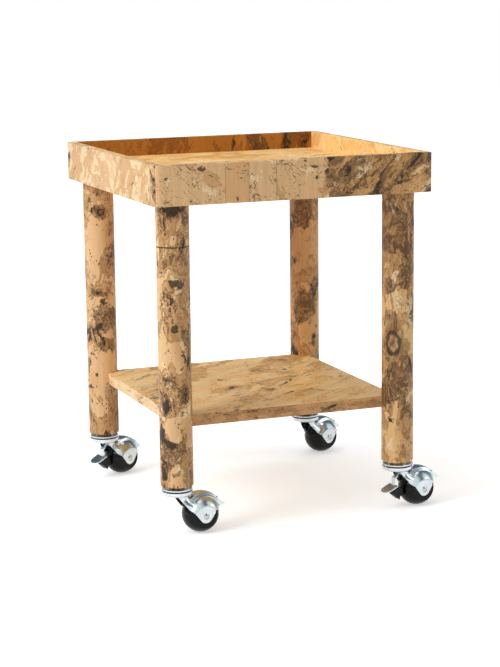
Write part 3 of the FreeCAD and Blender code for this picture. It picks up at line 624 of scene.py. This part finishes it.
@dataclass(frozen=True)
class Crack:
    """A thin dark seam across a leg's veneer at one height."""

    height: float
    width: float = 0.0016

    def paint(self, recipe: Recipe, point: Signal, colour: Signal) -> Signal:
        """Lay the crack over the colour."""
        rough = recipe.warped(point, 130.0, 0.0006)
        up = recipe.parts(rough)[2]
        broken = recipe.noise(point, 90.0, 2.0).rise(0.28, 0.40)
        line = abs(up - self.height).rise(self.width, 0.4 * self.width)
        return recipe.blend(line * broken * 0.9, colour, Colour.BARK)


@dataclass(frozen=True)
class LegVeneer:
    """The blotched veneer of one leg, rolled round it."""

    name: str
    seed: float
    grounds: tuple[Colour, Colour]
    burl: Burl
    places: Places = Places()
    extras: tuple[Union[Ring, Crack], ...] = ()

    def material(self) -> bpy.types.Material:
        """The leg's material."""
        recipe = Recipe(f"leg_veneer_{self.name}")
        point = recipe.place()
        moved = recipe.vector("ADD", point, (0.0, 0.0, self.seed))
        slow = recipe.noise(recipe.vector("MULTIPLY", moved, (1.0, 1.0, 0.5)), 17.0, 2.0)
        ground = recipe.blend(slow.rise(0.40, 0.60), *self.grounds)
        colour, marks = self.burl.paint(recipe, moved, ground, self.places, point)
        for extra in self.extras:
            colour = extra.paint(recipe, point, colour)
        return lacquered(recipe, colour, marks, 0.46)


@dataclass(frozen=True)
class Seam:
    """A butt seam between two pieces of a rail's veneer."""

    at: float
    slant: float = 0.0


@dataclass(frozen=True)
class Stretch:
    """A stretch along a rail, from one place to another, where the burl is strong."""

    start: float
    end: float

    def mask(self, run: Signal) -> Signal:
        """1 inside the stretch and 0 outside."""
        return run.rise(self.start, self.start + 0.008) * \
            run.rise(self.end + 0.008, self.end)


@dataclass(frozen=True)
class RailVeneer:
    """The pieced veneer of one rail: outer face, inner face and top edge."""

    name: str
    along: int
    seed: float
    outer: tuple[Colour, Colour]
    inner: tuple[Colour, Colour]
    seams: tuple[Seam, ...]
    burls: tuple[Stretch, ...]
    burl: Burl
    rim_marks: float = 0.5

    def pieces(self, recipe: Recipe, run: Signal, height: Signal) -> tuple[Signal, Signal]:
        """Number the pieces of veneer along the rail.

        Args:
            recipe: The material under construction.
            run: The way along the rail, in metres.
            height: The height, in metres.

        Returns:
            Each piece's random number, and a mask of the seams.
        """
        count: Number = 0.0
        joint: Number = 0.0
        for seam in self.seams:
            past = run - seam.at + (height - RIM_TOP) * seam.slant
            count = past.rise(-0.0001, 0.0001) + count
            joint = abs(past).rise(0.0009, 0.0003).most(joint)
        return recipe.random(count, self.seed), joint

    def material(self) -> bpy.types.Material:
        """The rail's material."""
        recipe = Recipe(f"rail_veneer_{self.name}")
        point = recipe.place()
        x, y, z = recipe.parts(point)
        run, depth = ((x, y), (y, x))[self.along]
        luck, joint = self.pieces(recipe, run, z)
        moved = recipe.vector("ADD", point, recipe.joined(luck * 3.0, luck * 7.0,
                                                          self.seed))
        leaning = recipe.vector("ADD", moved, recipe.joined(
            0.0, 0.0, (run * (luck - 0.5)) * 1.6))
        outside = abs(depth).rise(OUTER_FROM, OUTER_FULL)
        pick = luck.rise(0.2, 0.8)
        ground = recipe.blend(outside, recipe.blend(pick, *self.inner),
                              recipe.blend(pick, *self.outer))
        wobble = (recipe.noise(point, 30.0, 4.0) - 0.5) * 0.05
        strong: Number = 0.0
        for stretch in self.burls:
            strong = stretch.mask(run + wobble).most(strong)
        colour, marks = self.burl.paint(recipe, leaning, ground,
                                        push=strong * STRETCH_PUSH - RAIL_PULL)
        colour = recipe.blend(joint * 0.45, colour, Colour.UMBER)
        rim = recipe.facing()[2].rise(0.5, 0.9)
        worn = recipe.noise(point, 120.0, 4.0, 0.7).rise(0.52, 0.58)
        colour = recipe.blend(rim * worn * self.rim_marks, colour, Colour.DARK_BROWN)
        return lacquered(recipe, colour, (marks + joint).least(1.0), 0.42)


@dataclass(frozen=True)
class BoardVeneer:
    """The golden burl of a flat board: the tray's floor or the shelf."""

    name: str
    seed: float
    grounds: tuple[Colour, Colour]
    grain: float
    burl: Burl
    places: Places = Places()
    edges: dict[int, tuple[Paint, Burl]] = field(default_factory=dict)

    def material(self) -> bpy.types.Material:
        """The board's material."""
        recipe = Recipe(f"board_veneer_{self.name}")
        point = recipe.place()
        x, y, z = recipe.parts(point)
        turn = math.radians(self.grain)
        along = x * math.cos(turn) + y * math.sin(turn)
        across = y * math.cos(turn) - x * math.sin(turn)
        swept = recipe.joined(along * 0.5, across, z + self.seed)
        flow = recipe.noise(recipe.warped(swept, 16.0, 0.012), 34.0, 5.0, 0.62)
        ground = recipe.blend(flow.rise(0.38, 0.62), *self.grounds)
        colour, marks = self.burl.paint(recipe, swept, ground, self.places, point)
        fibre = recipe.noise(recipe.warped(recipe.joined(along * 0.05, across, z),
                                           20.0, 0.004), 260.0, 4.0, 0.6)
        colour = recipe.shaded(colour, 0.80 + 0.44 * fibre)
        facing = recipe.facing()
        for way, (edge_ground, edge_burl) in self.edges.items():
            moved = recipe.vector("ADD", point, (3.0 * way, 4.0, 0.0))
            edge, _ = edge_burl.paint(recipe, moved, edge_ground)
            colour = recipe.blend(abs(facing[way]).rise(0.6, 0.8), colour, edge)
        return lacquered(recipe, colour, marks, 0.40)


@dataclass(frozen=True)
class PlainWood:
    """Straight-grained hardwood of the dowels and splines."""

    name: str = "hardwood"

    def material(self) -> bpy.types.Material:
        """The dowels' and splines' material."""
        recipe = Recipe(self.name)
        grain = recipe.noise(recipe.vector("MULTIPLY", recipe.place(), Axis.UPRIGHT.value),
                             420.0, 4.0, 0.6)
        colour = recipe.blend(grain.rise(0.3, 0.7), Colour.STRAW, Colour.TAN)
        return recipe.finish(colour, 0.55 + 0.1 * grain, grain, 0.0001)


# ------------------------------------------------------------------ metal and mouldings


@dataclass(frozen=True)
class Plated:
    """A plated or polished metal, with the faint unevenness of its plating."""

    name: str
    colour: Colour
    roughness: float
    cloud: float = 0.06
    relief: float = 0.00004

    def material(self) -> bpy.types.Material:
        """The metal's material."""
        recipe = Recipe(self.name)
        point = recipe.place()
        drift = recipe.noise(point, 60.0, 3.0)
        fine = recipe.noise(point, 800.0, 3.0, 0.6)
        colour = recipe.blend(drift.rise(0.35, 0.65) * self.cloud * 3.0, self.colour,
                              Colour.STEEL)
        roughness = self.roughness + 0.10 * (drift - 0.5) + 0.06 * (fine - 0.5)
        return recipe.finish(colour, roughness, drift + fine * 0.05, self.relief,
                             Metallic=1.0)


@dataclass(frozen=True)
class Moulded:
    """A black moulding, glossy or dull, with fine scuffs and dust."""

    name: str
    colour: Colour
    roughness: float
    specular: float
    scuffs: float

    def material(self) -> bpy.types.Material:
        """The moulding's material."""
        recipe = Recipe(self.name)
        point = recipe.place()
        dust = recipe.noise(point, 900.0, 3.0, 0.7).rise(0.60, 0.74)
        worn = recipe.noise(recipe.vector("MULTIPLY", point, (1.0, 1.0, 0.3)), 210.0, 4.0)
        scuff = worn.rise(0.56, 0.68) * self.scuffs
        colour = recipe.blend(scuff * 0.10 + dust * 0.03, self.colour, Colour.DUST)
        return recipe.finish(colour, self.roughness + 0.15 * scuff, worn, 0.00002,
                             Specular_IOR_Level=self.specular)


# ------------------------------------------------------------------ sub-assemblies


def dress(frame: dict[str, Any], names: Iterable[str],
          material: bpy.types.Material) -> None:
    """Give CAD nodes one material.

    Args:
        frame: The loaded frame.
        names: The nodes' names.
        material: The material.
    """
    for name in names:
        mesh = frame["nodes"][name].data
        mesh.materials.clear()
        mesh.materials.append(material)
        log.info("%s wears %s", name, material.name)


@dataclass
class Tray:
    """The tray: four mitred rails, their splines and the floor panel."""

    frame: dict[str, Any]

    def front(self) -> RailVeneer:
        """The front rail: plain tan on the left, swirled dark burl on the right."""
        burl = Burl(0.036, 0.38, 0.12, 0.015, 0.10, 1.0, 1.0, 0.5,
                    stretch=(0.8, 1.0, 1.0), tones=(Colour.SWIRL, Colour.DARK_BROWN))
        seams = (Seam(-0.115), Seam(-0.078), Seam(-0.034), Seam(0.043, 0.5))
        return RailVeneer("front", 0, 0.37, (Colour.TAN, Colour.ROSE_CREAM),
                          (Colour.HONEY, Colour.TAN), seams, (Stretch(0.040, 0.30),),
                          burl, 0.8)

    def left(self) -> RailVeneer:
        """The left rail: cream and light brown pieces with a pale slanting figure."""
        burl = Burl(0.026, 0.34, 0.06, 0.01, 0.34, 0.35, 0.4, 0.35,
                    stretch=(1.0, 0.55, 1.0), tones=(Colour.TAN, Colour.UMBER))
        seams = (Seam(0.146), Seam(0.077, 0.6), Seam(0.011, -0.5), Seam(-0.066, 0.7),
                 Seam(-0.113, -0.8), Seam(-0.150, 0.6), Seam(-0.207))
        return RailVeneer("left", 1, 1.90, (Colour.ROSE_CREAM, Colour.TAN),
                          (Colour.HONEY, Colour.GOLD), seams,
                          (Stretch(0.20, 0.30), Stretch(-0.26, -0.19)), burl, 0.35)

    def back(self) -> RailVeneer:
        """The back rail: amber inside, with darker streaks to the right."""
        burl = Burl(0.022, 0.45, 0.16, 0.015, 0.0, 0.6, 0.5, 0.5,
                    stretch=(1.0, 1.0, 0.5), tones=(Colour.RUSSET, Colour.DARK_BROWN))
        seams = (Seam(-0.130, 0.4), Seam(-0.030, 0.5), Seam(0.059, 0.9), Seam(0.114, 0.9),
                 Seam(0.160, -0.4))
        return RailVeneer("back", 0, 2.61, (Colour.STRAW, Colour.TAN),
                          (Colour.TOFFEE, Colour.AMBER), seams,
                          (Stretch(0.055, 0.120), Stretch(0.150, 0.200)), burl, 0.4)

    def right(self) -> RailVeneer:
        """The right rail: pale pieces with triangular seams."""
        burl = Burl(0.024, 0.26, 0.03, 0.01, 0.30, 0.5, 0.4, 0.4,
                    stretch=(1.0, 0.6, 1.0), tones=(Colour.TAN, Colour.UMBER))
        seams = (Seam(0.161, 0.9), Seam(0.079, -0.9), Seam(0.049, 0.9), Seam(-0.019, -0.9),
                 Seam(-0.080, 0.7), Seam(-0.150, -0.6))
        return RailVeneer("right", 1, 3.43, (Colour.STRAW, Colour.TAN),
                          (Colour.LEMON, Colour.HONEY), seams, (), burl, 0.4)

    def build(self) -> None:
        """Dress the tray."""
        for rail in (self.front(), self.left(), self.back(), self.right()):
            dress(self.frame, [f"tray_{rail.name}_rail"], rail.material())
        floor = BoardVeneer("tray_floor", 0.8, (Colour.HONEY, Colour.LEMON), 12.0, Burl(
            0.042, 0.42, 0.05, 0.004, 0.20, 0.5, 0.4, 0.25, 0.05, fibre=Axis.ACROSS,
            stretch=(1.0, 1.0, 1.0), tones=(Colour.GOLD, Colour.UMBER)))
        dress(self.frame, ["tray_panel"], floor.material())
        dress(self.frame, ["corner_splines", "shelf_dowels"], PlainWood().material())


@dataclass
class Legs:
    """The four legs, each rolled in a veneer of its own, and their fixings."""

    frame: dict[str, Any]

    def front_left(self) -> LegVeneer:
        """The front left leg: blotched from top to foot, with a dark seam."""
        places = Places(
            veil=(Spot((-0.1936, -0.2074, 0.4289), 0.026, 0.8),
                  Spot((-0.1902, -0.2085, 0.2189), 0.016, 1.9),
                  Spot((-0.1927, -0.2077, 0.3202), 0.020, 1.0),
                  Spot((-0.1872, -0.2090, 0.3790), 0.024, 1.0)),
            dark=(Spot((-0.1881, -0.2089, 0.4979), 0.022, 0.8),
                  Spot((-0.1730, -0.2066, 0.4850), 0.013, 1.2),
                  Spot((-0.2048, -0.1984, 0.2075), 0.012, 1.8),
                  Spot((-0.1792, -0.2087, 0.2210), 0.012, 1.5),
                  Spot((-0.1972, -0.2055, 0.1272), 0.022, 1.2),
                  Spot((-0.1842, -0.2092, 0.1344), 0.012, 1.8)),
            black=(Spot((-0.1881, -0.2089, 0.4979), 0.017, 0.8),
                   Spot((-0.1872, -0.2090, 0.3887), 0.017, 0.5),
                   Spot((-0.1927, -0.2077, 0.3202), 0.008, 1.0),
                   Spot((-0.2048, -0.1984, 0.2050), 0.007, 1.8),
                   Spot((-0.1995, -0.2040, 0.1455), 0.009, 0.9)),
            clear=(Spot((-0.1900, -0.2085, 0.2850), 0.018, 1.0),
                   Spot((-0.1925, -0.2078, 0.1720), 0.020, 0.9)))
        return LegVeneer("front_left", 0.41, (Colour.ROSE_CREAM, Colour.TAN),
                         Burl(0.028, 0.58, 0.25, 0.04, 0.06, 0.9, 0.9, 0.9), places,
                         (Crack(0.4421),))

    def back_left(self) -> LegVeneer:
        """The back left leg: pale with a knot near its top and dark on its right."""
        places = Places(
            veil=(Spot((-0.1773, 0.1602, 0.3817), 0.020, 1.8),
                  Spot((-0.1850, 0.1592, 0.1500), 0.020, 1.6)),
            dark=(Spot((-0.1765, 0.1604, 0.2761), 0.020, 1.6),
                  Spot((-0.1937, 0.1611, 0.2840), 0.017, 1.8),
                  Spot((-0.1778, 0.1600, 0.2307), 0.017, 1.2),
                  Spot((-0.1971, 0.1628, 0.3192), 0.014, 0.9),
                  Spot((-0.1890, 0.1594, 0.4540), 0.017, 1.0)),
            black=(Spot((-0.1971, 0.1628, 0.3192), 0.008, 0.9),
                   Spot((-0.1937, 0.1611, 0.2640), 0.006, 1.0),
                   Spot((-0.2001, 0.1649, 0.1808), 0.006, 1.0)),
            clear=(Spot((-0.1960, 0.1620, 0.4050), 0.022, 1.6),))
        return LegVeneer("back_left", 1.93, (Colour.ROSE_CREAM, Colour.TAN),
                         Burl(0.030, 0.52, 0.27, 0.02, 0.0, 0.7, 0.8, 0.9), places,
                         (Ring((-0.1877, 0.1594, 0.4535), 0.0055),))

    def front_right(self) -> LegVeneer:
        """The front right leg: swirled and lined all over, with an eye half way down."""
        places = Places(
            veil=(Spot((0.1889, -0.2087, 0.2013), 0.018, 2.2),
                  Spot((0.1707, -0.2052, 0.4590), 0.026, 1.6)),
            dark=(Spot((0.1776, -0.2083, 0.4636), 0.014, 1.5),
                  Spot((0.1633, -0.1979, 0.4231), 0.014, 1.4),
                  Spot((0.1634, -0.1981, 0.3593), 0.013, 1.3),
                  Spot((0.1862, -0.2091, 0.3671), 0.012, 2.2),
                  Spot((0.1651, -0.2003, 0.3031), 0.018, 1.6),
                  Spot((0.1676, -0.2029, 0.2053), 0.018, 2.0)),
            black=(Spot((0.1910, -0.2082, 0.1755), 0.0035, 1.2),),
            clear=(Spot((0.1678, -0.2031, 0.1157), 0.018, 1.8),
                   Spot((0.1800, -0.2085, 0.3350), 0.012, 2.2)))
        return LegVeneer("front_right", 3.27, (Colour.STRAW, Colour.TAN),
                         Burl(0.034, 0.62, 0.34, 0.015, 0.10, 1.0, 0.6, 0.5,
                              stretch=(1.0, 1.0, 0.5)), places,
                         (Ring((0.1675, -0.2028, 0.2700), 0.0105, 1.6, 0.8),))

    def back_right(self) -> LegVeneer:
        """The back right leg: broad soft brown patches."""
        places = Places(
            dark=(Spot((0.1729, 0.1619, 0.4279), 0.022, 1.3),
                  Spot((0.1720, 0.1624, 0.2700), 0.026, 1.5)),
            clear=(Spot((0.1683, 0.1649, 0.3847), 0.016, 1.2),))
        return LegVeneer("back_right", 5.08, (Colour.TAN, Colour.ROSE_TAN),
                         Burl(0.034, 0.64, 0.34, 0.01, 0.0, 0.7, 0.5, 0.7, 0.03), places)

    def build(self) -> None:
        """Dress the legs."""
        for veneer in (self.front_left(), self.back_left(), self.front_right(),
                       self.back_right()):
            dress(self.frame, [f"leg_{veneer.name}"], veneer.material())
        dress(self.frame, ["leg_hanger_bolts"],
              Plated("fixing_zinc", Colour.STEEL, 0.35).material())
        dress(self.frame, ["panel_inserts"],
              Plated("turned_brass", Colour.BRASS, 0.3).material())


@dataclass
class Shelf:
    """The low shelf."""

    frame: dict[str, Any]

    def build(self) -> None:
        """Dress the shelf."""
        places = Places(
            veil=(Spot((-0.061, 0.157, SHELF_TOP), 0.090),
                  Spot((0.124, 0.141, SHELF_TOP), 0.070),
                  Spot((0.166, 0.098, SHELF_TOP), 0.050)),
            dark=(Spot((0.124, 0.141, SHELF_TOP), 0.030),
                  Spot((-0.031, 0.033, SHELF_TOP), 0.020),
                  Spot((0.015, -0.070, SHELF_TOP), 0.016)))
        face = Burl(0.042, 0.34, 0.06, 0.006, 0.20, 0.6, 0.6, 0.3, 0.05, fibre=Axis.ACROSS,
                    stretch=(1.0, 1.0, 1.0), tones=(Colour.GOLD, Colour.UMBER))
        front = Burl(0.022, 0.5, 0.22, 0.03, 0.0, 0.8, 0.7, 0.8, fibre=Axis.ACROSS,
                     stretch=(0.6, 0.6, 1.5), tones=(Colour.VEIL, Colour.DARK_BROWN))
        side = Burl(0.026, 0.3, 0.04, 0.005, 0.2, 0.3, 0.3, 0.3, fibre=Axis.DEEP,
                    stretch=(0.6, 0.6, 1.5), tones=(Colour.TAN, Colour.UMBER))
        board = BoardVeneer("shelf", 2.2, (Colour.BUTTER, Colour.LEMON), 38.0, face, places,
                            {1: (Colour.ROSE_TAN, front), 0: (Colour.CREAM, side)})
        dress(self.frame, ["shelf"], board.material())


@dataclass
class Casters:
    """Four hooded ball casters, two of them braked."""

    frame: dict[str, Any]

    def build(self) -> None:
        """Dress the casters."""
        finishes = {
            "hood": Plated("hood_zinc", Colour.ZINC, 0.25, 0.08, 0.00005),
            "upper_race": Plated("race_zinc", Colour.ZINC, 0.20),
            "socket": Plated("socket_zinc", Colour.STEEL, 0.3),
            "stem": Plated("stem_zinc", Colour.STEEL, 0.28),
            "axle": Plated("axle_zinc", Colour.STEEL, 0.24),
            "bearing_balls": Plated("bearing_chrome", Colour.STEEL, 0.08),
            "brake_lever": Plated("lever_zinc", Colour.ZINC, 0.20, 0.08, 0.0001),
            "brake_pin": Plated("pin_zinc", Colour.STEEL, 0.3),
            "ball": Moulded("ball_black", Colour.BLACK, 0.17, 0.19, 0.2),
            "brake_shoe": Moulded("shoe_black", Colour.SHOE_BLACK, 0.45, 0.3, 0.5),
        }
        for part, finish in finishes.items():
            dress(self.frame, [name for name in sorted(self.frame["nodes"])
                               if name.startswith("caster_") and name.endswith("_" + part)],
                  finish.material())


# ------------------------------------------------------------------ studio


@dataclass(frozen=True)
class Lamp:
    """A soft rectangular lamp."""

    name: str
    at: Point
    towards: Point
    size: tuple[float, float]
    power: float

    def build(self) -> None:
        """Hang the lamp."""
        light = bpy.data.lights.new(self.name, "AREA")
        light.shape = "RECTANGLE"
        light.size, light.size_y = self.size
        light.energy = self.power
        lamp = bpy.data.objects.new(self.name, light)
        bpy.context.scene.collection.objects.link(lamp)
        lamp.location = self.at
        way = Vector(self.towards) - Vector(self.at)
        lamp.rotation_euler = way.to_track_quat("-Z", "Y").to_euler()


@dataclass
class Studio:
    """The pale floor, the soft light and the camera."""

    eye: Point = (-1.103, -2.826, 0.8406)
    yaw: float = 0.375
    pitch: float = 0.188
    roll: float = -0.011
    focal_pixels: float = 1912.0
    frame_height: float = 667.0
    floor_reach: float = 9.0
    window: Point = (-0.72, -0.50, 0.48)
    strip: Point = (0.80, -0.20, 0.56)
    lamps: tuple[Lamp, ...] = (
        Lamp("key", (-2.4, -0.7, 1.85), (0.0, 0.0, 0.33), (1.2, 1.2), 47.0),
        Lamp("top", (-0.2, 0.3, 2.5), (0.0, 0.0, 0.4), (1.6, 1.6), 21.0),
        Lamp("right", (2.2, -1.0, 1.0), (0.0, 0.0, 0.3), (0.9, 1.4), 8.0),
    )

    def camera(self) -> None:
        """Set up the camera at the photograph's place and angle."""
        forward = Vector((math.sin(self.yaw) * math.cos(self.pitch),
                          math.cos(self.yaw) * math.cos(self.pitch),
                          -math.sin(self.pitch)))
        level = Vector((math.cos(self.yaw), -math.sin(self.yaw), 0.0))
        upright = level.cross(forward)
        right = math.cos(self.roll) * level + math.sin(self.roll) * upright
        up = -math.sin(self.roll) * level + math.cos(self.roll) * upright
        lens = bpy.data.cameras.new("camera")
        lens.sensor_width = 36.0
        lens.lens = self.focal_pixels / self.frame_height * lens.sensor_width
        camera = bpy.data.objects.new("camera", lens)
        bpy.context.scene.collection.objects.link(camera)
        turn = Matrix((right, up, -forward)).transposed().to_4x4()
        camera.matrix_world = Matrix.Translation(self.eye) @ turn
        bpy.context.scene.camera = camera

    def seen(self, graph: Graph) -> Signal:
        """1 for rays that show the backdrop: the camera's, glossy and passing ones."""
        rays = graph.node("ShaderNodeLightPath", {}, {}).socket.node.outputs
        camera = Signal(graph, rays["Is Camera Ray"])
        glossy = Signal(graph, rays["Is Glossy Ray"])
        return camera.most(glossy).most(Signal(graph, rays["Is Transmission Ray"]))

    def floor(self) -> None:
        """Lay the pale floor: it shows white, and keeps the shadow near the trolley."""
        recipe = Recipe("pale_floor")
        away = recipe.vector("LENGTH", recipe.place(), (0.0, 0.0, 0.0), "Value")
        glow = 0.50 + 0.50 * away.rise(0.40, 1.0)
        recipe.feed(recipe.sockets["Emission Color"], Colour.WHITE)
        recipe.feed(recipe.sockets["Emission Strength"], self.seen(recipe) * glow)
        material = recipe.finish(Colour.FLOOR, 1.0, Specular_IOR_Level=0.0)
        mesh = bpy.data.meshes.new("pale_floor")
        reach = self.floor_reach
        mesh.from_pydata([(-reach, -reach, 0), (reach, -reach, 0), (reach, reach, 0),
                          (-reach, reach, 0)], [], [(0, 1, 2, 3)])
        mesh.materials.append(material)
        floor = bpy.data.objects.new("pale_floor", mesh)
        bpy.context.scene.collection.objects.link(floor)

    def world(self) -> None:
        """Fill in softly; the backdrop is white, and metal mirrors a room with windows."""
        world = bpy.data.worlds.new("studio")
        bpy.context.scene.world = world
        world.use_nodes = True
        graph = Graph(world.node_tree)
        way = graph.node("ShaderNodeTexCoord", {}, {}, "Generated")
        window = graph.vector("DOT_PRODUCT", way, self.window, "Value")
        strip = graph.vector("DOT_PRODUCT", way, self.strip, "Value")
        bright = window.rise(0.45, 0.76).most(strip.rise(0.86, 0.95))
        horizon = abs(graph.parts(way)[2]).rise(0.34, 0.10)
        room = graph.blend(bright.most(horizon * 0.55), Colour.DARK_ROOM, Colour.WINDOW)
        rays = graph.node("ShaderNodeLightPath", {}, {}).socket.node.outputs
        camera = Signal(graph, rays["Is Camera Ray"])
        backdrop = graph.blend(camera, room, Colour.WHITE)
        glossy = self.seen(graph)
        colour = graph.blend(glossy, Colour.SOFT_FILL, backdrop)
        shader = graph.node("ShaderNodeBackground", {},
                            {"Color": colour, "Strength": 0.42 + 0.58 * glossy})
        graph.end("ShaderNodeOutputWorld", shader)

    def build(self) -> None:
        """Set up the camera, floor, world and lamps."""
        self.camera()
        self.floor()
        self.world()
        for lamp in self.lamps:
            lamp.build()
        bpy.context.scene.view_settings.view_transform = "Standard"


def main() -> None:
    """Load the frame, dress every sub-assembly and set up the studio."""
    logging.basicConfig(level=logging.INFO, format="%(name)s: %(message)s")
    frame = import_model()
    for assembly in (Tray(frame), Legs(frame), Shelf(frame), Casters(frame)):
        assembly.build()
    Studio().build()


if __name__ == "__main__":
    main()
